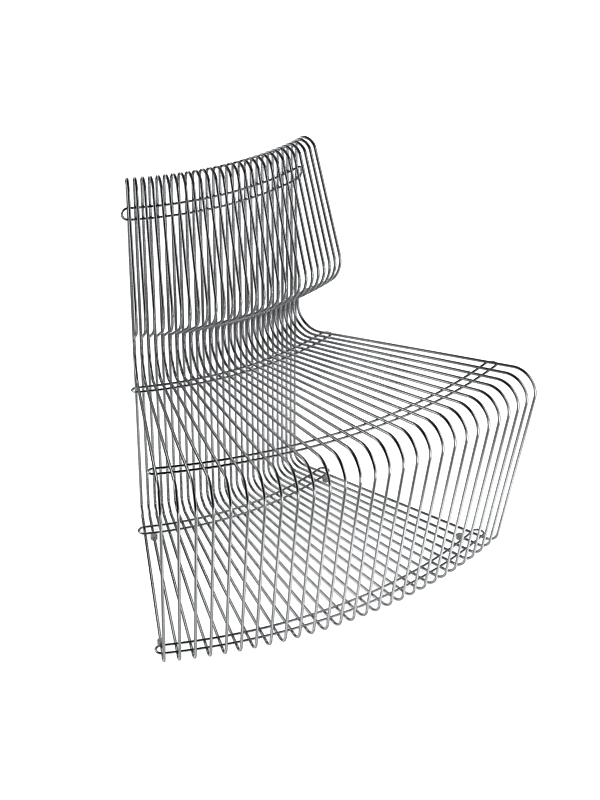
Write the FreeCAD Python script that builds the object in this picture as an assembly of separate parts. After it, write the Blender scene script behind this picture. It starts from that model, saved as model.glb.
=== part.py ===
import FreeCAD, Part
import math
import os

# Low lounge chair made of bent steel wire.
# Twenty-eight identical closed loops of round wire stand upright, side by
# side, like the leaves of a half-open fan.  Each loop is one bent side
# profile: back, neck, seat, front leg and floor run.  Five long narrow
# racetrack loops of thinner wire run across them and are resistance-welded
# to every one, all on the inner side of the profile.  Four moulded plastic
# glides are snapped onto the floor runs.
#
# Frame: millimetres, +Z up, floor at Z = 0, front of the chair faces -Y,
# X = 0 is the middle plane between the fourteenth and fifteenth loops.

# ---------------------------------------------------------------- dimensions
wire_d = 5.0            # round wire of the profile loops
cross_d = 4.0           # round wire of the cross loops
weld_in = 0.30          # how far two crossing wires sink into each other

loop_count = 28
fan_step = 1.6687       # degrees from one loop to the next
fan_radius = 453.4      # from the fan's vertical axis to the loops' rear runs

# side profile, as the corners of the wire's centreline:
# s = distance forward from the rear run, h = height above the floor run
top_h = 712.0           # highest point of the back's centreline
top_r = 21.5            # U-bend at the top of the back
rear_r = 26.1           # bend between rear run and floor run
bulge_s, bulge_h, bulge_r = 112.4, 459.0, 58.5      # lumbar bulge
neck_s, neck_h, neck_r = 3.1, 385.0, 36.0           # pinch behind the seat
sweep_s, sweep_h, sweep_r = 11.7, 311.7, 45.0       # neck to seat
knee_s, knee_h, knee_r = 539.8, 397.8, 41.8         # seat to front leg
foot_s, foot_r = 473.5, 26.5                        # front leg to floor run

# cross loops: distance from rear run (or height) of each loop's middle, and
# how much further forward its ends cross than its middle does: the cross
# loops are bent a little flatter than the fan
cross_w = 22.4          # between the two rails of every cross loop
back_cross_h = 637.9
seat_rear_s, seat_rear_bow = 68.0, 4.8
seat_front_s, seat_front_bow = 432.2, 4.7
base_rear_s, base_rear_bow = 69.6, 3.0
base_front_s, base_front_bow = 432.1, 3.1

# glides
glide_d = 12.6          # outside diameter
glide_under = 3.0       # plastic under the wire
glide_over = 2.5        # plastic above the wire
glide_grip = 0.05       # the bore is this much tighter than the wire, radially
glide_slit = 2.2        # snap-on mouth in the top
glide_mouth = 4.4       # width of the mouth at its bevelled top
glide_foot_chamfer = 1.4
glide_top_round = 0.9
# loop number and distance forward of each glide
glide_places = {
    "glide_rear_left": (2, 90.0),
    "glide_rear_right": (27, 89.2),
    "glide_front_left": (1, 408.6),
    "glide_front_right": (27, 409.4),
}

# ------------------------------------------------------------------- derived
wire_r = wire_d / 2.0
cross_r = cross_d / 2.0
floor_run_z = glide_under + wire_r          # height of the floor runs' centre
contact = wire_r + cross_r - weld_in        # between two welded wires' centres
fan_half = fan_step * (loop_count - 1) / 2.0

V = FreeCAD.Vector
UP = V(0, 0, 1)


def loop_angle(i):
    """Fan angle of loop i, counted from the sitter's right (-X) side."""
    return -fan_half + fan_step * (i - 1)


def place(s, h, deg):
    """A point of the loop standing at fan angle deg."""
    a = math.radians(deg)
    r = fan_radius + s
    return V(math.sin(a) * r, fan_radius - math.cos(a) * r, floor_run_z + h)


# -------------------------------------------------------------- side profile
def top_corners():
    """Corners that make the top one U-bend of radius top_r, tangent to the
    upright rear run and to the sloping front line of the back."""
    lo, hi = top_r, 4.0 * top_r
    for _ in range(80):
        s = 0.5 * (lo + hi)
        slope = math.atan2(bulge_s - s, top_h - bulge_h)
        need = top_r + top_r * math.tan((math.pi / 2 - slope) / 2.0)
        if need > s:
            lo = s
        else:
            hi = s
    return s


def centreline():
    """Straight runs and tangent arcs of the profile, in the plane (s, h)."""
    s_top = top_corners()
    corners = [
        (0.0, 0.0, rear_r),
        (0.0, top_h, top_r),
        (s_top, top_h, top_r),
        (bulge_s, bulge_h, bulge_r),
        (neck_s, neck_h, neck_r),
        (sweep_s, sweep_h, sweep_r),
        (knee_s, knee_h, knee_r),
        (foot_s, 0.0, foot_r),
    ]
    n = len(corners)
    bends = []
    for k in range(n):
        p = V(corners[k][0], corners[k][1], 0)
        a = V(corners[k - 1][0], corners[k - 1][1], 0)
        b = V(corners[(k + 1) % n][0], corners[(k + 1) % n][1], 0)
        r = corners[k][2]
        u, w = (a - p).normalize(), (b - p).normalize()
        half = math.acos(max(-1.0, min(1.0, u.dot(w)))) / 2.0
        t = r / math.tan(half)
        mid = (u + w).normalize()
        centre = p + mid * (r / math.sin(half))
        bends.append((p + u * t, centre - mid * r, p + w * t))
    runs = []
    for k in range(n):
        start, middle, end = bends[k]
        runs.append(("arc", start, middle, end))
        nxt = bends[(k + 1) % n][0]
        if (nxt - end).Length > 1e-4:
            runs.append(("line", end, None, nxt))
        elif (nxt - end).Length > 0:
            # the two top bends meet: close the tiny numerical gap
            bends[(k + 1) % n] = (end,) + bends[(k + 1) % n][1:]
    return runs


def standing(p, deg):
    return place(p.x, p.y, deg)


def path_length(runs):
    total = 0.0
    for kind, a, m, b in runs:
        if kind == "line":
            total += (b - a).Length
        else:
            total += Part.Arc(a, m, b).toShape().Length
    return total


def tube(edges, start, direction, radius):
    """A closed round tube along a closed, tangent-continuous path."""
    spine = Part.Wire(edges)
    ring = Part.Wire([Part.Circle(start, direction, radius).toShape()])
    shell = spine.makePipeShell([ring], False, False)
    shell.sewShape()
    solid = Part.Solid(shell if shell.ShapeType == "Shell" else shell.Shells[0])
    if solid.Volume < 0:
        solid.reverse()
    return solid


def profile_loop(deg):
    """One profile loop, standing at fan angle deg."""
    runs = centreline()
    # begin in the middle of the floor run, so that the seam lies at the weld
    last = runs[-1]
    half = (last[1] + last[3]) * 0.5
    ordered = [("line", half, None, last[3])] + runs[:-1] + [("line", last[1], None, half)]
    edges = []
    for kind, a, m, b in ordered:
        a3, b3 = standing(a, deg), standing(b, deg)
        if kind == "line":
            edges.append(Part.LineSegment(a3, b3).toShape())
        else:
            edges.append(Part.Arc(a3, standing(m, deg), b3).toShape())
    start = standing(half, deg)
    direction = (standing(last[3], deg) - start).normalize()
    return tube(edges, start, direction, wire_r)


# --------------------------------------------------------------- cross loops
def seat_height(s):
    return sweep_h + (knee_h - sweep_h) * (s - sweep_s) / (knee_s - sweep_s)


def rail_middle(kind, s, bow, deg):
    """The line midway between a cross loop's rails, where the loop at fan angle
    deg (0 or the outermost) crosses it, and the direction from the rear rail
    to the front one there, as (point, direction)."""
    a = math.radians(deg)
    if kind == "back":
        return place(contact, s, deg), V(0, 0, 1)
    s = s + bow * ((deg / fan_half) ** 2 - 0.4)
    if kind == "base":
        return place(s, contact, deg), V(math.sin(a), -math.cos(a), 0)
    slope = math.atan2(knee_h - sweep_h, knee_s - sweep_s)
    point = place(s + contact * math.sin(slope), seat_height(s) - contact * math.cos(slope), deg)
    return point, V(math.sin(a) * math.cos(slope), -math.cos(a) * math.cos(slope), math.sin(slope))


def cross_loop(kind, s, bow):
    """A racetrack loop: two arcs about one axis in the plane X = 0, joined past
    the outermost loops by half circles.  The axis leans very slightly, so that
    every loop touches the rails alike although their arc is flatter than the
    fan."""
    mid, mid_way = rail_middle(kind, s, bow, 0.0)
    end, end_way = rail_middle(kind, s, bow, fan_half)
    chord = V(0, end.y, end.z)
    back = (chord - mid).normalize()
    sagitta = (chord - mid).Length
    radius = (end.x ** 2 + sagitta ** 2) / (2.0 * sagitta)
    centre = mid + back * radius
    axis = V(1, 0, 0).cross(back)
    reach = math.asin(end.x / radius)

    def out(b):
        return V(math.sin(b), 0, 0) - back * math.cos(b)

    # the rails' slope against the axis, between its values here and at the end
    slope = 0.5 * (math.atan2(mid_way.dot(axis), mid_way.dot(out(0.0)))
                   + math.atan2(end_way.dot(axis), end_way.dot(out(reach))))

    def rail(side, b):
        d = side * cross_w / 2.0
        return centre + out(b) * (radius + d * math.cos(slope)) + axis * (d * math.sin(slope))

    def along(b):
        return V(math.cos(b), 0, 0) + back * math.sin(b)

    tip_right = (rail(-1, reach) + rail(1, reach)) * 0.5 + along(reach) * (cross_w / 2.0)
    tip_left = (rail(-1, -reach) + rail(1, -reach)) * 0.5 - along(-reach) * (cross_w / 2.0)
    edges = [
        Part.Arc(rail(-1, 0.0), rail(-1, reach / 2.0), rail(-1, reach)).toShape(),
        Part.Arc(rail(-1, reach), tip_right, rail(1, reach)).toShape(),
        Part.Arc(rail(1, reach), rail(1, 0.0), rail(1, -reach)).toShape(),
        Part.Arc(rail(1, -reach), tip_left, rail(-1, -reach)).toShape(),
        Part.Arc(rail(-1, -reach), rail(-1, -reach / 2.0), rail(-1, 0.0)).toShape(),
    ]
    length = sum(e.Length for e in edges)
    return tube(edges, rail(-1, 0.0), V(1, 0, 0), cross_r), length


# -------------------------------------------------------------------- glides
def glide(loop, s):
    """A moulded foot that snaps down over the wire's underside."""
    centre = place(s, 0.0, loop_angle(loop))
    height = glide_under + wire_d + glide_over
    body = Part.makeCylinder(glide_d / 2.0, height, V(0, 0, 0), UP)
    rim_low = [e for e in body.Edges if abs(e.BoundBox.ZMax) < 1e-6]
    body = body.makeChamfer(glide_foot_chamfer, rim_low)
    rim_top = [
        e for e in body.Edges
        if abs(e.BoundBox.ZMin - height) < 1e-6 and abs(e.BoundBox.ZMax - height) < 1e-6
    ]
    body = body.makeFillet(glide_top_round, rim_top)
    long = glide_d * 1.5
    axis_h = glide_under + wire_r
    bore = Part.makeCylinder(wire_r - glide_grip, long, V(0, -long / 2.0, axis_h), V(0, 1, 0))
    slit = Part.makeBox(glide_slit, long, height, V(-glide_slit / 2.0, -long / 2.0, axis_h))
    bevel_low = height - (glide_mouth - glide_slit) / 2.0
    mouth = Part.Face(Part.makePolygon([
        V(-glide_slit / 2.0, -long / 2.0, bevel_low),
        V(glide_slit / 2.0, -long / 2.0, bevel_low),
        V(glide_mouth / 2.0 + 0.5, -long / 2.0, height + 0.5),
        V(-glide_mouth / 2.0 - 0.5, -long / 2.0, height + 0.5),
        V(-glide_slit / 2.0, -long / 2.0, bevel_low),
    ])).extrude(V(0, long, 0))
    body = body.cut(bore).cut(slit).cut(mouth)
    solid = body.Solids[0]
    solid.rotate(V(0, 0, 0), UP, loop_angle(loop))
    solid.translate(V(centre.x, centre.y, 0))
    return solid


# --------------------------------------------------------------------- build
solids = {}
expected = {}

loop_length = path_length(centreline())
for i in range(1, loop_count + 1):
    name = "profile_wire_%02d" % i
    solids[name] = profile_loop(loop_angle(i))
    expected[name] = loop_length * math.pi * wire_r ** 2

crosses = {
    "back_cross_wire": ("back", back_cross_h, 0.0),
    "seat_rear_cross_wire": ("seat", seat_rear_s, seat_rear_bow),
    "seat_front_cross_wire": ("seat", seat_front_s, seat_front_bow),
    "base_rear_cross_wire": ("base", base_rear_s, base_rear_bow),
    "base_front_cross_wire": ("base", base_front_s, base_front_bow),
}
for name, (kind, s, bow) in crosses.items():
    solids[name], length = cross_loop(kind, s, bow)
    expected[name] = length * math.pi * cross_r ** 2

for name, (loop, s) in glide_places.items():
    solids[name] = glide(loop, s)

# the origin is on the floor, under the middle of the chair's plan
extent = FreeCAD.BoundBox()
for solid in solids.values():
    extent.add(solid.optimalBoundingBox(False, False))
middle = V(0, -(extent.YMin + extent.YMax) / 2.0, 0)

os.makedirs("parts", exist_ok=True)
print("wire in one profile loop: %.1f mm" % loop_length)
print("overall %.2f x %.2f x %.2f mm, X %.3f..%.3f, Z %.3f..%.3f, moved by Y %.4f" % (
    extent.XLength, extent.YLength, extent.ZLength, extent.XMin, extent.XMax,
    extent.ZMin, extent.ZMax, middle.y))
for name, solid in solids.items():
    solid.translate(middle)
    print("%-24s valid %s closed %s volume %.0f expected %.0f" % (
        name, solid.isValid(), solid.isClosed(), solid.Volume, expected.get(name, 0)))
    solid.exportStep("parts/%s.step" % name)
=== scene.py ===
import math

import bpy
import numpy as np
from mathutils import Matrix, Vector


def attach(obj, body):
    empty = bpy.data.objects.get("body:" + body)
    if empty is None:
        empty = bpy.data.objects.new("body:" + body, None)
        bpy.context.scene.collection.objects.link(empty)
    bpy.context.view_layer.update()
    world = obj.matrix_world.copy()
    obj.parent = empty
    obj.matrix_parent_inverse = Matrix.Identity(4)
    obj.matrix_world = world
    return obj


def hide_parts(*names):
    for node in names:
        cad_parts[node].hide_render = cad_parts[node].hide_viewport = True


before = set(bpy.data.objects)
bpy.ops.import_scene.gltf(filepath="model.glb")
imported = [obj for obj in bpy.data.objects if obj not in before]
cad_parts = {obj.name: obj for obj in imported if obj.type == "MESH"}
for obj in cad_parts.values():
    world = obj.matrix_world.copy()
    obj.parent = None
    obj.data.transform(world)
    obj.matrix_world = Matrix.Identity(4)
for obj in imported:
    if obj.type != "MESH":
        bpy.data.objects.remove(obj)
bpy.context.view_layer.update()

# Low lounge chair made of bent, chromed steel wire.  The finished surface of
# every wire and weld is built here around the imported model, in metres: the
# same centrelines and diameters, with smooth round sections, wire that
# flattens slightly in its tight bends, ground butt welds, and a small fillet
# of weld metal at each of the 280 crossings.

MM = 0.001

# ------------------------------------------------------- dimensions (as CAD)
wire_d, cross_d, weld_in = 5.0, 4.0, 0.30
loop_count, fan_step, fan_radius = 28, 1.6687, 453.4
top_h, top_r, rear_r = 712.0, 21.5, 26.1
bulge_s, bulge_h, bulge_r = 112.4, 459.0, 58.5
neck_s, neck_h, neck_r = 3.1, 385.0, 36.0
sweep_s, sweep_h, sweep_r = 11.7, 311.7, 45.0
knee_s, knee_h, knee_r = 539.8, 397.8, 41.8
foot_s, foot_r = 473.5, 26.5
cross_w = 22.4
cross_wires = {      # where each lies, its place there and its ends' lead
    "back_cross_wire": ("back", 637.9, 0.0),
    "seat_rear_cross_wire": ("seat", 68.0, 4.8),
    "seat_front_cross_wire": ("seat", 432.2, 4.7),
    "base_rear_cross_wire": ("base", 69.6, 3.0),
    "base_front_cross_wire": ("base", 432.1, 3.1),
}
glide_under = 3.0

wire_r, cross_r = wire_d / 2.0, cross_d / 2.0
floor_run_z = glide_under + wire_r
contact = wire_r + cross_r - weld_in
fan_half = fan_step * (loop_count - 1) / 2.0
y_shift = 248.0417      # brings the plan's middle over the origin

# --------------------------------------------------------- surface dimensions
loop_sides = 24
cross_sides = 20
bend_turn = 3.0         # degrees of a bend from one ring to the next
straight_ring = 22.0    # longest ring spacing on a straight run
bend_flat = 0.55        # flattening of a bent section, divided by its radius
butt_up = 0.10          # how far the ground butt weld stands proud
butt_half = 1.3         # half its width along the wire
fillet_gap = 0.72       # opening between two crossing wires that weld metal fills
fillet_turns = 28       # points round a weld
fillet_steps = 6        # points from one wire to the other


def loop_angle(i):
    return math.radians(-fan_half + fan_step * (i - 1))


def place(s, h, a):
    """A point of the loop that stands at fan angle a, in metres."""
    r = fan_radius + s
    return np.array([
        math.sin(a) * r,
        fan_radius - math.cos(a) * r + y_shift,
        floor_run_z + h,
    ]) * MM


def forward(ds, dh, a):
    """A direction in the plane of the loop at fan angle a."""
    return np.array([math.sin(a) * ds, -math.cos(a) * ds, dh])


def sideways(a):
    return np.array([math.cos(a), math.sin(a), 0.0])


# -------------------------------------------------------------- side profile
def top_corner():
    lo, hi = top_r, 4.0 * top_r
    for _ in range(80):
        s = 0.5 * (lo + hi)
        slope = math.atan2(bulge_s - s, top_h - bulge_h)
        need = top_r + top_r * math.tan((math.pi / 2 - slope) / 2.0)
        if need > s:
            lo = s
        else:
            hi = s
    return s


def seat_height(s):
    return sweep_h + (knee_h - sweep_h) * (s - sweep_s) / (knee_s - sweep_s)


seat_slope = math.atan2(knee_h - sweep_h, knee_s - sweep_s)
# from the profile wire's centre towards the cross wire's, in the plane (s, h)
inward = {
    "back": (1.0, 0.0),
    "seat": (math.sin(seat_slope), -math.cos(seat_slope)),
    "base": (0.0, 1.0),
}


class CrossWire:
    """Two arcs about one axis in the plane X = 0, a little flatter than the
    fan, joined past the outermost loops by half circles."""

    def __init__(self, kind, s, bow):
        self.kind, self.s, self.bow = kind, s, bow
        self.n2 = inward[kind]
        half = math.radians(fan_half)
        mid, mid_way = self.middle(0.0)
        end, end_way = self.middle(half)
        chord = np.array([0.0, end[1], end[2]])
        sagitta = float(np.linalg.norm(chord - mid))
        self.back = (chord - mid) / sagitta
        self.radius = (end[0] ** 2 + sagitta ** 2) / (2.0 * sagitta)
        self.centre = mid + self.back * self.radius
        self.axis = np.cross([1.0, 0.0, 0.0], self.back)
        self.reach = math.asin(end[0] / self.radius)
        self.slope = 0.5 * (math.atan2(mid_way @ self.axis, mid_way @ self.out(0.0))
                            + math.atan2(end_way @ self.axis, end_way @ self.out(self.reach)))
        self.at_loop = {}
        grid = np.linspace(-self.reach * 1.02, self.reach * 1.02, 1601)
        for side in (-1, 1):
            fan = [self.fan_angle(self.rail(side, b)) for b in grid]
            self.at_loop[side] = [float(np.interp(loop_angle(i), fan, grid)) for i in range(1, loop_count + 1)]

    def middle(self, a):
        """Midway between the rails at fan angle a, and the way to the front one."""
        if self.kind == "back":
            return place(contact, self.s, a), np.array([0.0, 0.0, 1.0])
        s = self.s + self.bow * ((a / math.radians(fan_half)) ** 2 - 0.4)
        if self.kind == "base":
            return place(s, contact, a), forward(1.0, 0.0, a)
        return (place(s + contact * math.sin(seat_slope), seat_height(s) - contact * math.cos(seat_slope), a),
                forward(math.cos(seat_slope), math.sin(seat_slope), a))

    def out(self, b):
        return np.array([math.sin(b), 0.0, 0.0]) - self.back * math.cos(b)

    def along(self, b):
        return np.array([math.cos(b), 0.0, 0.0]) + self.back * math.sin(b)

    def rail(self, side, b):
        d = side * cross_w / 2.0 * MM
        return self.centre + self.out(b) * (self.radius + d * math.cos(self.slope)) + self.axis * (d * math.sin(self.slope))

    @staticmethod
    def fan_angle(p):
        return math.atan2(p[0], (fan_radius + y_shift) * MM - p[1])

    def crossing(self, side, i):
        """The profile wire's centre under this rail, as (s, h)."""
        p = self.rail(side, self.at_loop[side][i - 1])
        s = math.hypot(p[0], (fan_radius + y_shift) * MM - p[1]) / MM - fan_radius
        h = p[2] / MM - floor_run_z
        return s - contact * self.n2[0], h - contact * self.n2[1]


crosses = {name: CrossWire(*where) for name, where in cross_wires.items()}


def crossings(i):
    """Where loop i is welded, in (s, h)."""
    return [c.crossing(side, i) for c in crosses.values() for side in (-1, 1)]


def profile_path(marks):
    """Rings of the closed profile, finer near its weld marks: rows (s, h, ts,
    th, along, flat, near), from the middle of the floor run rearwards, up the
    back and round."""
    corners = [
        (0.0, 0.0, rear_r), (0.0, top_h, top_r), (top_corner(), top_h, top_r),
        (bulge_s, bulge_h, bulge_r), (neck_s, neck_h, neck_r),
        (sweep_s, sweep_h, sweep_r), (knee_s, knee_h, knee_r), (foot_s, 0.0, foot_r),
    ]
    n = len(corners)
    bends = []
    for k in range(n):
        p = np.array(corners[k][:2])
        u = np.array(corners[k - 1][:2]) - p
        w = np.array(corners[(k + 1) % n][:2]) - p
        u, w = u / np.linalg.norm(u), w / np.linalg.norm(w)
        r = corners[k][2]
        half = math.acos(max(-1.0, min(1.0, float(u @ w)))) / 2.0
        t = r / math.tan(half)
        mid = (u + w) / np.linalg.norm(u + w)
        centre = p + mid * (r / math.sin(half))
        bends.append((p + u * t, centre, p + w * t, r, math.pi - 2 * half, -u, w))
    # pieces of the path, begun in the middle of the floor run
    start = 0.5 * (bends[-1][2] + bends[0][0])
    pieces = [("line", start, bends[0][0])]
    for k in range(n):
        pieces.append(("bend", bends[k]))
        end = bends[k][2]
        nxt = bends[(k + 1) % n][0] if k < n - 1 else start
        if np.linalg.norm(nxt - end) > 1e-3:
            pieces.append(("line", end, nxt))
    rows, along = [], 0.0
    for piece in pieces:
        if piece[0] == "line":
            a, b = piece[1], piece[2]
            length = float(np.linalg.norm(b - a))
            d = (b - a) / length
            stops = set(np.linspace(0.0, length, max(2, int(math.ceil(length / straight_ring)) + 1)).tolist())
            for m in marks:
                m = np.array(m)
                t = float((m - a) @ d)
                if 0 < t < length and np.linalg.norm(a + d * t - m) < 0.5:
                    for off in (-5.0, -3.2, -2.2, -1.2, 0.0, 1.2, 2.2, 3.2, 5.0):
                        if 0 < t + off < length:
                            stops.add(t + off)
            for off in (1.5, 3.0, 6.0):
                stops.add(off), stops.add(length - off)
            if piece is pieces[0]:
                for off in (0.4, 0.8, 1.2, 1.7):
                    stops.add(off)
            if piece is pieces[-1]:
                for off in (0.4, 0.8, 1.2, 1.7):
                    stops.add(length - off)
            stops = sorted(x for x in stops if 0 <= x < length - 1e-6)
            kept = []
            for x in stops:
                if not kept or x - kept[-1] > 0.3:
                    kept.append(x)
            for x in kept:
                rows.append([*(a + d * x), *d, along + x, 0.0, 0.0])
            along += length
        else:
            _, centre, end, r, turn, d_in, d_out = piece[1]
            begin = piece[1][0]
            count = max(3, int(round(math.degrees(turn) / bend_turn)))
            side = 1.0 if d_in[0] * d_out[1] - d_in[1] * d_out[0] > 0 else -1.0
            v = begin - centre
            for k in range(count):
                t = side * turn * k / count
                c, s_ = math.cos(t), math.sin(t)
                p = centre + np.array([v[0] * c - v[1] * s_, v[0] * s_ + v[1] * c])
                d = np.array([d_in[0] * c - d_in[1] * s_, d_in[0] * s_ + d_in[1] * c])
                edge = min(k, count - k) / count * turn * r
                ease = min(1.0, edge / 6.0)
                flat = bend_flat / r * (ease * ease * (3 - 2 * ease))
                rows.append([*p, *d, along + abs(t) * r, flat, 0.0])
            along += turn * r
    rows = np.array(rows)
    for row in rows:
        near = min(math.hypot(row[0] - m[0], row[1] - m[1]) for m in marks)
        row[6] = math.exp(-(near / 3.0) ** 2)
    return rows, along


# -------------------------------------------------------------- mesh builders
def make_mesh(name, verts, faces, attributes, uv=None):
    mesh = bpy.data.meshes.new(name)
    mesh.from_pydata(verts.tolist(), [], faces)
    mesh.update()
    for key, (kind, values) in attributes.items():
        layer = mesh.attributes.new(key, kind, "POINT")
        flat = np.asarray(values, np.float32).ravel()
        layer.data.foreach_set("vector" if kind == "FLOAT_VECTOR" else "value", flat)
    if uv is not None:
        layer = mesh.uv_layers.new(name="OFBake")
        layer.data.foreach_set("uv", np.asarray(uv, np.float32).ravel())
    mesh.polygons.foreach_set("use_smooth", [True] * len(mesh.polygons))
    mesh.update()
    obj = bpy.data.objects.new(name, mesh)
    bpy.context.scene.collection.objects.link(obj)
    return obj


def tube(name, centres, tangents, normals, radius, sides, along, flat, near, total):
    """A closed round wire.  normals point across the wire; flat takes a share
    off the section along them, and near says how close a weld is."""
    rings = len(centres)
    binormals = np.cross(tangents, normals)
    theta = np.arange(sides) * (2 * math.pi / sides)
    c, s = np.cos(theta), np.sin(theta)
    butt = np.minimum(along, total - along)
    lift = butt_up * np.exp(-(butt / butt_half) ** 2 * 1.6)
    rn = (radius * (1.0 - flat) + lift)[:, None, None] * MM
    rb = (radius + lift)[:, None, None] * MM
    verts = (centres[:, None, :]
             + rn * c[None, :, None] * normals[:, None, :]
             + rb * s[None, :, None] * binormals[:, None, :]).reshape(-1, 3)
    straight = np.zeros((rings, sides, 3))
    straight[:, :, 0] = c * radius * MM
    straight[:, :, 1] = s * radius * MM
    straight[:, :, 2] = (along * MM)[:, None]
    worked = np.repeat(np.maximum(near, np.exp(-(butt / 2.5) ** 2)), sides)
    faces, uv = [], []
    # the unrolled wire lies in strips side by side
    strips = max(1, int(round(math.sqrt(total / (2 * math.pi * radius)))))
    stops = np.append(along, total)
    for k in range(rings):
        q = (k + 1) % rings
        middle = 0.5 * (stops[k] + stops[k + 1])
        strip = min(strips - 1, int(middle / total * strips))
        lo, hi = total * strip / strips, total * (strip + 1) / strips
        room = (total / strips) * 0.04
        v0 = (stops[k] - lo + room) / (hi - lo + 2 * room)
        v1 = (stops[k + 1] - lo + room) / (hi - lo + 2 * room)
        for j in range(sides):
            i = (j + 1) % sides
            faces.append((k * sides + j, k * sides + i, q * sides + i, q * sides + j))
            u0 = (strip + 0.06 + 0.88 * j / sides) / strips
            u1 = (strip + 0.06 + 0.88 * (j + 1) / sides) / strips
            uv += [(u0, v0), (u1, v0), (u1, v1), (u0, v1)]
    uv = np.clip(np.array(uv), 0.0, 1.0)
    return make_mesh(name, verts, faces, {
        "straight": ("FLOAT_VECTOR", straight.reshape(-1, 3)),
        "worked": ("FLOAT", worked),
    }, uv)


def profile_loop(name, a, rows, total):
    centres = np.array([place(r[0], r[1], a) for r in rows])
    tangents = np.array([forward(r[2], r[3], a) for r in rows])
    side = sideways(a)
    normals = np.cross(np.tile(side, (len(rows), 1)), tangents)
    return tube(name, centres, tangents, normals, wire_r, loop_sides,
                rows[:, 4], rows[:, 5], rows[:, 6], total)


def cross_path(wire):
    """Centres, tangents, normals of a cross loop, from the middle of its first
    rail."""
    def rail(side, start, end):
        r = wire.radius / MM
        length = abs(end - start) * r
        stops = {start, end}
        count = max(2, int(math.ceil(length / 9.0)))
        for k in range(count + 1):
            stops.add(start + (end - start) * k / count)
        lo, hi = min(start, end), max(start, end)
        for b in wire.at_loop[side]:
            for off in (-3.2, -2.0, -1.0, 0.0, 1.0, 2.0, 3.2):
                if lo < b + off / r < hi:
                    stops.add(b + off / r)
        for off in (0.4, 0.8, 1.2, 1.7):
            for b in (off / r, -off / r):
                if lo < b < hi:
                    stops.add(b)
        stops = sorted(stops, reverse=end < start)
        kept = []
        for b in stops:
            if not kept or abs(b - kept[-1]) * r > 0.3:
                kept.append(b)
        sign = 1.0 if end > start else -1.0
        out = []
        for b in kept:
            if abs(b - end) * r < 0.3:
                continue
            nearest = min(abs(b - c) for c in wire.at_loop[side]) * r
            p = wire.rail(side, b)
            out.append((p, wire.along(b) * sign, forward(*wire.n2, wire.fan_angle(p)),
                        0.0, math.exp(-(nearest / 2.6) ** 2)))
        return out

    def cap(first, second, b, out_sign):
        """Half circle past the outermost loop, from rail first to rail second."""
        p, q = wire.rail(first, b), wire.rail(second, b)
        centre, u = 0.5 * (p + q), 0.5 * (p - q)
        r = float(np.linalg.norm(u))
        u = u / r
        w = wire.along(b) * out_sign
        count = int(180 / 6)
        out = []
        for k in range(count):
            t = math.pi * k / count
            out.append((centre + r * (math.cos(t) * u + math.sin(t) * w),
                        -math.sin(t) * u + math.cos(t) * w,
                        forward(*wire.n2, wire.fan_angle(centre)), 0.0, 0.0))
        return out

    half = wire.reach
    points = (rail(-1, 0.0, half) + cap(-1, 1, half, 1.0)
              + rail(1, half, -half) + cap(1, -1, -half, -1.0)
              + rail(-1, -half, 0.0))
    centres = np.array([p[0] for p in points])
    tangents = np.array([p[1] for p in points])
    normals = np.array([p[2] for p in points])
    normals -= tangents * np.sum(normals * tangents, axis=1, keepdims=True)
    normals /= np.linalg.norm(normals, axis=1, keepdims=True)
    near = np.array([p[4] for p in points])
    gaps = np.linalg.norm(np.roll(centres, -1, axis=0) - centres, axis=1) / MM
    along = np.concatenate([[0.0], np.cumsum(gaps)[:-1]])
    return centres, tangents, normals, along, near, float(gaps.sum())


def cross_loop(name, wire):
    centres, tangents, normals, along, near, total = cross_path(wire)
    return tube(name, centres, tangents, normals, cross_r, cross_sides,
                along, np.zeros(len(along)), near, total)


def fillet_section(phi):
    """Weld metal between the two wires in the direction phi round the contact
    (0 is along the profile wire): (distance out, height) from the profile
    wire's surface to the cross wire's."""
    c2, s2 = math.cos(phi) ** 2, math.sin(phi) ** 2

    def low(p):
        return math.sqrt(max(0.0, wire_r ** 2 - p * p * s2))

    def high(p):
        return contact - math.sqrt(max(0.0, cross_r ** 2 - p * p * c2))

    lo, hi = 0.2, 1.99
    for _ in range(60):
        p = 0.5 * (lo + hi)
        if high(p) - low(p) < fillet_gap:
            lo = p
        else:
            hi = p
    zl, zh = low(p), high(p)
    fall = p * s2 / max(zl, 1e-6)
    rise = p * c2 / max(contact - zh, 1e-6)
    back = (zh - zl) / max(fall + rise, 1e-6)
    ctrl = (p - back, zl + fall * back)
    out = []
    for k in range(fillet_steps + 1):
        t = k / fillet_steps
        out.append(((1 - t) ** 2 * p + 2 * t * (1 - t) * ctrl[0] + t * t * p,
                    (1 - t) ** 2 * zl + 2 * t * (1 - t) * ctrl[1] + t * t * zh))
    return out


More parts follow.
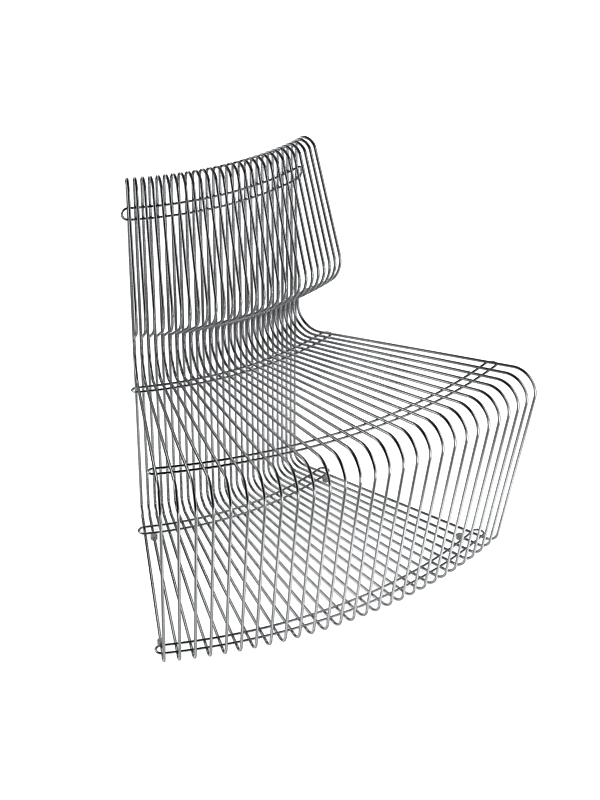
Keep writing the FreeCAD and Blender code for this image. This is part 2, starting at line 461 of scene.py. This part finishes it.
def welds(name, wire):
    """A fillet ring at each crossing of a cross loop, closed inside the wires."""
    sections = []
    for k in range(fillet_turns):
        phi = 2 * math.pi * k / fillet_turns
        sections.append((math.cos(phi), math.sin(phi), fillet_section(phi)))
    verts, faces, straight, worked = [], [], [], []
    seed = 0
    for i in range(1, loop_count + 1):
        a = loop_angle(i)
        n = forward(*wire.n2, a)
        for side in (-1, 1):
            y = wire.along(wire.at_loop[side][i - 1])
            y = y - n * (y @ n)
            y = y / np.linalg.norm(y)
            x = np.cross(y, n)
            seed += 1
            centre = place(*wire.crossing(side, i), a)
            base = len(verts)
            # no two welds spread quite alike
            wob = [0.035 * math.sin(seed * 2.399 + 1.7), 0.03 * math.sin(seed * 1.13 + 0.4)]
            for k, (cx, sy, section) in enumerate(sections):
                phi = 2 * math.pi * k / fillet_turns
                for m, (p, z) in enumerate(section):
                    t = m / fillet_steps
                    bulge = (wob[0] * math.cos(2 * phi + seed) + wob[1] * math.cos(3 * phi - seed)) * 4 * t * (1 - t)
                    q = p + bulge
                    verts.append(centre + MM * (x * q * cx + y * q * sy + n * z))
                    straight.append((q * cx * MM, q * sy * MM, (z + 9.0 * seed) * MM))
                    worked.append(1.0)
            step = fillet_steps + 1
            for k in range(fillet_turns):
                j = (k + 1) % fillet_turns
                for m in range(fillet_steps):
                    faces.append((base + k * step + m, base + j * step + m,
                                  base + j * step + m + 1, base + k * step + m + 1))
            for m, z in ((0, wire_r * 0.55), (fillet_steps, contact - cross_r * 0.5)):
                tip = len(verts)
                verts.append(centre + MM * n * z)
                straight.append((0.0, 0.0, (z + 9.0 * seed) * MM))
                worked.append(1.0)
                for k in range(fillet_turns):
                    j = (k + 1) % fillet_turns
                    one, two = base + k * step + m, base + j * step + m
                    faces.append((one, tip, two) if m else (two, tip, one))
    return make_mesh(name, np.array(verts), faces, {
        "straight": ("FLOAT_VECTOR", np.array(straight)),
        "worked": ("FLOAT", np.array(worked)),
    })


# ------------------------------------------------------------------ materials
def node(tree, kind, x, y, **props):
    n = tree.nodes.new(kind)
    n.location = (x, y)
    for k, v in props.items():
        setattr(n, k, v)
    return n


def math_node(tree, op, a, b=None, x=0, y=0, clamp=False):
    n = node(tree, "ShaderNodeMath", x, y, operation=op, use_clamp=clamp)
    for k, v in enumerate((a, b)):
        if v is None:
            continue
        if isinstance(v, (int, float)):
            n.inputs[k].default_value = v
        else:
            tree.links.new(v, n.inputs[k])
    return n.outputs[0]


def chrome(name, base, low, high):
    """Bright chromium plate on drawn wire."""
    mat = bpy.data.materials.new(name)
    mat.use_nodes = True
    t = mat.node_tree
    bsdf = t.nodes["Principled BSDF"]
    bsdf.inputs["Metallic"].default_value = 1.0
    straight = node(t, "ShaderNodeAttribute", -1500, 0, attribute_name="straight")
    worked = node(t, "ShaderNodeAttribute", -1500, -500, attribute_name="worked")

    # drawing lines: noise stretched along the straightened wire
    lines_map = node(t, "ShaderNodeMapping", -1300, 200)
    lines_map.inputs["Scale"].default_value = (2600.0, 2600.0, 34.0)
    t.links.new(straight.outputs["Vector"], lines_map.inputs["Vector"])
    lines = node(t, "ShaderNodeTexNoise", -1100, 200)
    lines.inputs["Scale"].default_value = 1.0
    lines.inputs["Detail"].default_value = 3.0
    t.links.new(lines_map.outputs[0], lines.inputs["Vector"])

    # plating: a soft orange-peel swell
    peel_map = node(t, "ShaderNodeMapping", -1300, -100)
    peel_map.inputs["Scale"].default_value = (420.0, 420.0, 260.0)
    t.links.new(straight.outputs["Vector"], peel_map.inputs["Vector"])
    peel = node(t, "ShaderNodeTexNoise", -1100, -100)
    peel.inputs["Scale"].default_value = 1.0
    peel.inputs["Detail"].default_value = 1.5
    t.links.new(peel_map.outputs[0], peel.inputs["Vector"])

    # handling haze over a few centimetres
    haze_map = node(t, "ShaderNodeMapping", -1300, -300)
    haze_map.inputs["Scale"].default_value = (60.0, 60.0, 22.0)
    t.links.new(straight.outputs["Vector"], haze_map.inputs["Vector"])
    haze = node(t, "ShaderNodeTexNoise", -1100, -300)
    haze.inputs["Scale"].default_value = 1.0
    haze.inputs["Detail"].default_value = 4.0
    haze.inputs["Roughness"].default_value = 0.6
    t.links.new(haze_map.outputs[0], haze.inputs["Vector"])

    tint = node(t, "ShaderNodeValToRGB", -600, 300)
    ramp = tint.color_ramp
    ramp.elements[0].position, ramp.elements[1].position = 0.25, 0.75
    ramp.elements[0].color = (base[0] * 0.93, base[1] * 0.93, base[2] * 0.935, 1)
    ramp.elements[1].color = (base[0], base[1], base[2], 1)
    t.links.new(haze.outputs[0], tint.inputs[0])
    near_dark = node(t, "ShaderNodeMix", -300, 300, data_type="RGBA", blend_type="MULTIPLY")
    t.links.new(tint.outputs[0], near_dark.inputs[6])
    near_dark.inputs[7].default_value = (0.86, 0.855, 0.85, 1)
    t.links.new(worked.outputs["Fac"], near_dark.inputs[0])
    t.links.new(near_dark.outputs[2], bsdf.inputs["Base Color"])

    rough = node(t, "ShaderNodeMapRange", -600, 0)
    t.links.new(haze.outputs[0], rough.inputs[0])
    rough.inputs[1].default_value, rough.inputs[2].default_value = 0.3, 0.75
    rough.inputs[3].default_value, rough.inputs[4].default_value = low, high
    fine = math_node(t, "MULTIPLY", lines.outputs[0], 0.015, -600, -200)
    soft = math_node(t, "MULTIPLY", worked.outputs["Fac"], 0.07, -600, -350)
    total = math_node(t, "ADD", rough.outputs[0], fine, -400, -100)
    total = math_node(t, "ADD", total, soft, -250, -150, clamp=True)
    t.links.new(total, bsdf.inputs["Roughness"])

    height = math_node(t, "MULTIPLY", lines.outputs[0], 0.25, -600, -600)
    swell = math_node(t, "MULTIPLY", peel.outputs[0], 1.0, -600, -750)
    both = math_node(t, "ADD", height, swell, -400, -650)
    bump = node(t, "ShaderNodeBump", -200, -600)
    bump.inputs["Strength"].default_value = 0.22
    bump.inputs["Distance"].default_value = 0.00004
    t.links.new(both, bump.inputs["Height"])
    t.links.new(bump.outputs[0], bsdf.inputs["Normal"])
    return mat


def glide_plastic():
    mat = bpy.data.materials.new("glide_plastic")
    mat.use_nodes = True
    t = mat.node_tree
    bsdf = t.nodes["Principled BSDF"]
    coord = node(t, "ShaderNodeTexCoord", -1300, 0)
    grain = node(t, "ShaderNodeTexNoise", -1000, 200)
    grain.inputs["Scale"].default_value = 2400.0
    grain.inputs["Detail"].default_value = 2.0
    t.links.new(coord.outputs["Object"], grain.inputs["Vector"])
    mottle = node(t, "ShaderNodeTexNoise", -1000, -50)
    mottle.inputs["Scale"].default_value = 260.0
    mottle.inputs["Detail"].default_value = 4.0
    t.links.new(coord.outputs["Object"], mottle.inputs["Vector"])
    ramp = node(t, "ShaderNodeValToRGB", -700, 0)
    ramp.color_ramp.elements[0].position, ramp.color_ramp.elements[1].position = 0.3, 0.72
    ramp.color_ramp.elements[0].color = (0.50, 0.508, 0.508, 1)
    ramp.color_ramp.elements[1].color = (0.60, 0.608, 0.606, 1)
    t.links.new(mottle.outputs[0], ramp.inputs[0])
    t.links.new(ramp.outputs[0], bsdf.inputs["Base Color"])
    rough = node(t, "ShaderNodeMapRange", -700, -250)
    t.links.new(mottle.outputs[0], rough.inputs[0])
    rough.inputs[3].default_value, rough.inputs[4].default_value = 0.42, 0.6
    t.links.new(rough.outputs[0], bsdf.inputs["Roughness"])
    bump = node(t, "ShaderNodeBump", -400, -400)
    bump.inputs["Strength"].default_value = 0.35
    bump.inputs["Distance"].default_value = 0.00006
    t.links.new(grain.outputs[0], bump.inputs["Height"])
    t.links.new(bump.outputs[0], bsdf.inputs["Normal"])
    return mat


wire_chrome = chrome("chromed_wire", (0.855, 0.862, 0.87), 0.015, 0.045)
cross_chrome = chrome("chromed_cross_wire", (0.82, 0.828, 0.836), 0.02, 0.06)
plastic = glide_plastic()

# ---------------------------------------------------------------------- build
for i in range(1, loop_count + 1):
    rows, loop_length = profile_path(crossings(i))
    obj = profile_loop("wire_loop_%02d" % i, loop_angle(i), rows, loop_length)
    obj.data.materials.append(wire_chrome)
    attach(obj, "root")
    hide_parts("profile_wire_%02d" % i)

for name, wire in crosses.items():
    obj = cross_loop(name.replace("_cross_wire", "_cross_loop"), wire)
    obj.data.materials.append(cross_chrome)
    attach(obj, "root")
    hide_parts(name)
    obj = welds(name.replace("_cross_wire", "_welds"), wire)
    obj.data.materials.append(cross_chrome)
    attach(obj, "root")

for name in ("glide_rear_left", "glide_rear_right", "glide_front_left", "glide_front_right"):
    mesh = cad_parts[name].data
    if len(mesh.materials) == 0:
        mesh.materials.append(plastic)
    for k in range(len(mesh.materials)):
        mesh.materials[k] = plastic

# The plastic that closes each glide's mouth over its wire: rings of half
# widths across and along the wire, from the wire's top to the glide's.
glide_places = {
    "glide_rear_left": (2, 90.0),
    "glide_rear_right": (27, 89.2),
    "glide_front_left": (1, 408.6),
    "glide_front_right": (27, 409.4),
}
web_rings = [(7.6, 1.15, 6.15), (9.4, 1.15, 6.15), (10.0, 1.75, 5.9), (10.3, 2.05, 5.5), (10.45, 2.2, 5.2)]
for name, (i, s) in glide_places.items():
    a = loop_angle(i)
    foot = place(s, 0.0, a)
    across, lengthways = sideways(a), np.array([-math.sin(a), math.cos(a), 0.0])
    verts, faces = [], []
    for z, half_w, half_l in web_rings:
        for u, v in ((-1, -1), (1, -1), (1, 1), (-1, 1)):
            point = foot + MM * (across * (u * half_w) + lengthways * (v * half_l))
            verts.append((point[0], point[1], z * MM))
    for k in range(len(web_rings) - 1):
        for j in range(4):
            i4 = (j + 1) % 4
            faces.append((4 * k + j, 4 * k + i4, 4 * k + 4 + i4, 4 * k + 4 + j))
    faces += [(3, 2, 1, 0), tuple(4 * (len(web_rings) - 1) + j for j in range(4))]
    mesh = bpy.data.meshes.new(name + "_web")
    mesh.from_pydata(verts, [], faces)
    mesh.update()
    mesh.materials.append(plastic)
    obj = bpy.data.objects.new(name + "_web", mesh)
    bpy.context.scene.collection.objects.link(obj)
    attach(obj, "root")

# ---------------------------------------------------------------------- stage
floor_mesh = bpy.data.meshes.new("floor")
size = 30.0
floor_mesh.from_pydata([(-size, -size, 0), (size, -size, 0), (size, size, 0), (-size, size, 0)], [], [(0, 1, 2, 3)])
floor = bpy.data.objects.new("floor", floor_mesh)
bpy.context.scene.collection.objects.link(floor)
floor.location.z = -0.0003
floor.visible_glossy = False
paper = bpy.data.materials.new("floor_paper")
paper.use_nodes = True
t = paper.node_tree
t.nodes.clear()
paper_out = node(t, "ShaderNodeOutputMaterial", 600, 0)
matt = node(t, "ShaderNodeBsdfDiffuse", -200, 0)
matt.inputs[0].default_value = (0.40, 0.40, 0.40, 1)
glow = node(t, "ShaderNodeEmission", -200, -200)
glow.inputs[0].default_value = (1, 1, 1, 1)
glow.inputs[1].default_value = 0.74
lit = node(t, "ShaderNodeAddShader", 0, -100)
t.links.new(matt.outputs[0], lit.inputs[0])
t.links.new(glow.outputs[0], lit.inputs[1])
below = node(t, "ShaderNodeNewGeometry", 0, 200)
clear = node(t, "ShaderNodeBsdfTransparent", 0, -300)
one_way = node(t, "ShaderNodeMixShader", 300, 0)
t.links.new(below.outputs["Backfacing"], one_way.inputs[0])
t.links.new(lit.outputs[0], one_way.inputs[1])
t.links.new(clear.outputs[0], one_way.inputs[2])
t.links.new(one_way.outputs[0], paper_out.inputs[0])
floor_mesh.materials.append(paper)

# The studio that the chrome mirrors: a light tent close round the chair, with
# pale screens behind it and to the front right, bright paper in front, and
# dark gaps between them.  Each window is (azimuths, elevations, brightness) in
# degrees as seen from the tent's middle: azimuth 0 is the front, -Y, and 90 is
# +X.  Windows that overlap add up.
tent_radius, tent_height = 1.0, 0.35
room_up, room_down, top_dark = 0.34, 0.65, -0.10
edge_across, edge_up = 6.0, 5.0
studio_windows = [
    ((-210, -122), (51, 87), -0.11),
    ((-50, 17), (44, 81), -0.19),
    ((23, 149), (43, 78), 0.13),
    ((8, 56), (22, 52), 0.13),
    ((16, 62), (16, 46), 0.21),
    ((140, 192), (16, 44), 0.20),
    ((70, 118), (18, 42), -0.16),
    ((-238, -108), (18, 42), 0.27),
    ((14, 57), (3, 47), 0.22),
    ((-96, -12), (-7, 51), -0.22),
    ((154, 192), (13, 27), 0.22),
    ((-200, -106), (-4, 31), 0.37),
    ((-138, -112), (-12, 37), 0.25),
    ((-147, -78), (-8, 30), 0.25),
    ((28, 126), (-9, 18), 0.16),
    ((-9, 69), (-27, 34), 0.24),
    ((-200, -141), (-21, 15), -0.13),
    ((-162, -151), (-24, 12), -0.15),
    ((-107, -41), (-14, -1), -0.13),
    ((46, 103), (-27, 0), -0.09),
    ((-113, -54), (-26, -2), -0.16),
    ((-42, 27), (-28, -7), 0.19),
    ((-52, 42), (-26, -11), 0.16),
    ((-177, -146), (-46, 5), -0.22),
    ((3, 38), (-55, 2), 0.14),
    ((-160, -133), (-44, -13), -0.11),
    ((-84, -1), (-44, -26), -0.09),
    ((24, 105), (-42, -33), 0.16),
    ((21, 87), (-42, -36), 0.14),
    ((-36, 14), (-42, -37), -0.19),
    ((-40, 62), (-48, -43), 0.15),
    ((-134, -102), (-68, -27), 0.14),
    ((-30, 102), (-56, -42), 0.21),
    ((-51, 18), (-54, -45), 0.18),
    ((50, 179), (-76, -25), 0.18),
    ((-142, -24), (-73, -52), 0.20),
]

world = bpy.data.worlds.new("dome")
bpy.context.scene.world = world
world.use_nodes = True
dome = world.node_tree.nodes["Background"]
dome.inputs[0].default_value = (1, 1, 1, 1)
dome.inputs[1].default_value = 1.0

tent_mesh = bpy.data.meshes.new("tent")
around, rise = 96, 48
tent_verts = [(0.0, 0.0, -tent_radius), (0.0, 0.0, tent_radius)]
for k in range(1, rise):
    e = math.pi * (k / rise - 0.5)
    for j in range(around):
        a = 2 * math.pi * j / around
        tent_verts.append((tent_radius * math.cos(e) * math.cos(a), tent_radius * math.cos(e) * math.sin(a), tent_radius * math.sin(e)))
tent_faces = []
for j in range(around):
    i = (j + 1) % around
    tent_faces.append((0, 2 + i, 2 + j))
    top = 2 + (rise - 2) * around
    tent_faces.append((1, top + j, top + i))
    for k in range(rise - 2):
        low = 2 + k * around
        tent_faces.append((low + j, low + i, low + around + i, low + around + j))
tent_mesh.from_pydata(tent_verts, [], tent_faces)
tent = bpy.data.objects.new("tent", tent_mesh)
bpy.context.scene.collection.objects.link(tent)
tent.location.z = tent_height
tent.visible_camera = False
tent.visible_diffuse = False
tent.visible_transmission = False
tent.visible_volume_scatter = False
tent.visible_shadow = False
tent_cloth = bpy.data.materials.new("tent_cloth")
tent_cloth.use_nodes = True
tent_cloth.cycles.emission_sampling = "NONE"
tent_mesh.materials.append(tent_cloth)
w = tent_cloth.node_tree
w.nodes.clear()


def smooth(x, lo, hi, y_lo, y_hi, px, py):
    n = node(w, "ShaderNodeMapRange", px, py, interpolation_type="SMOOTHSTEP")
    w.links.new(x, n.inputs[0])
    for k, v in enumerate((lo, hi, y_lo, y_hi)):
        n.inputs[k + 1].default_value = v
    return n.outputs[0]


out = node(w, "ShaderNodeOutputMaterial", 1200, 0)
coord = node(w, "ShaderNodeTexCoord", -2600, 0)
unit = node(w, "ShaderNodeVectorMath", -2400, 0, operation="NORMALIZE")
w.links.new(coord.outputs["Object"], unit.inputs[0])
sep = node(w, "ShaderNodeSeparateXYZ", -2200, 0)
w.links.new(unit.outputs[0], sep.inputs[0])
minus_y = math_node(w, "MULTIPLY", sep.outputs[1], -1.0, -2000, 100)
azimuth = math_node(w, "ARCTAN2", sep.outputs[0], minus_y, -1850, 100)
azimuth = math_node(w, "MULTIPLY", azimuth, 180.0 / math.pi, -1700, 100)
elevation = math_node(w, "ARCSINE", sep.outputs[2], None, -1850, -100)
elevation = math_node(w, "MULTIPLY", elevation, 180.0 / math.pi, -1700, -100)
light = smooth(elevation, -8.0, 8.0, room_down, room_up, -1400, 0)
light = math_node(w, "ADD", light, smooth(elevation, 50.0, 70.0, 0.0, top_dark, -1400, -200), -1200, 0)
for k, ((a0, a1), (e0, e1), gain) in enumerate(studio_windows):
    y = -400 - 300 * k
    off = math_node(w, "SUBTRACT", azimuth, (a0 + a1) / 2.0, -1400, y)
    wrap = node(w, "ShaderNodeMath", -1250, y, operation="WRAP")
    w.links.new(off, wrap.inputs[0])
    wrap.inputs[1].default_value, wrap.inputs[2].default_value = 180.0, -180.0
    off = math_node(w, "ABSOLUTE", wrap.outputs[0], None, -1100, y)
    h = (a1 - a0) / 2.0
    across = smooth(off, h - edge_across / 2.0, h + edge_across / 2.0, 1.0, 0.0, -950, y)
    low = smooth(elevation, e0 - edge_up / 2.0, e0 + edge_up / 2.0, 0.0, gain, -950, y - 100)
    high = smooth(elevation, e1 - edge_up / 2.0, e1 + edge_up / 2.0, 1.0, 0.0, -950, y - 200)
    both = math_node(w, "MULTIPLY", across, low, -700, y)
    both = math_node(w, "MULTIPLY", both, high, -550, y)
    light = math_node(w, "ADD", light, both, -400 + 40 * k, y)
light = math_node(w, "MAXIMUM", light, 0.02, 700, 0)
studio = node(w, "ShaderNodeEmission", 950, 0)
w.links.new(light, studio.inputs[0])
studio.inputs[1].default_value = 0.97
w.links.new(studio.outputs[0], out.inputs[0])

# --------------------------------------------------------------------- camera
yaw, pitch, roll = 0.55266, 0.54313, 0.00744
ahead = Vector((math.sin(yaw) * math.cos(pitch), math.cos(yaw) * math.cos(pitch), -math.sin(pitch)))
right = Vector((math.cos(yaw), -math.sin(yaw), 0.0))
up = right.cross(ahead)
r2 = right * math.cos(roll) + up * math.sin(roll)
u2 = up * math.cos(roll) - right * math.sin(roll)
cam_data = bpy.data.cameras.new("camera")
cam_data.sensor_width = 36.0
cam_data.lens = 81.7879
cam_data.clip_start, cam_data.clip_end = 0.05, 60.0
cam = bpy.data.objects.new("camera", cam_data)
bpy.context.scene.collection.objects.link(cam)
m = Matrix((r2, u2, -ahead)).transposed().to_4x4()
m.translation = Vector((-1.44363, -2.35917, 2.02058))
cam.matrix_world = m
bpy.context.scene.camera = cam

bpy.context.scene.view_settings.view_transform = "Raw"
bpy.context.scene.view_settings.look = "None"

# a touch of sharpening, as a product photograph gets
bpy.context.scene.use_nodes = True
c = bpy.context.scene.node_tree
c.nodes.clear()
layers = node(c, "CompositorNodeRLayers", 0, 0)
crisp = node(c, "CompositorNodeFilter", 300, 0, filter_type="SHARPEN")
crisp.inputs["Fac"].default_value = 0.055
shown = node(c, "CompositorNodeComposite", 600, 0)
c.links.new(layers.outputs["Image"], crisp.inputs["Image"])
c.links.new(crisp.outputs["Image"], shown.inputs["Image"])
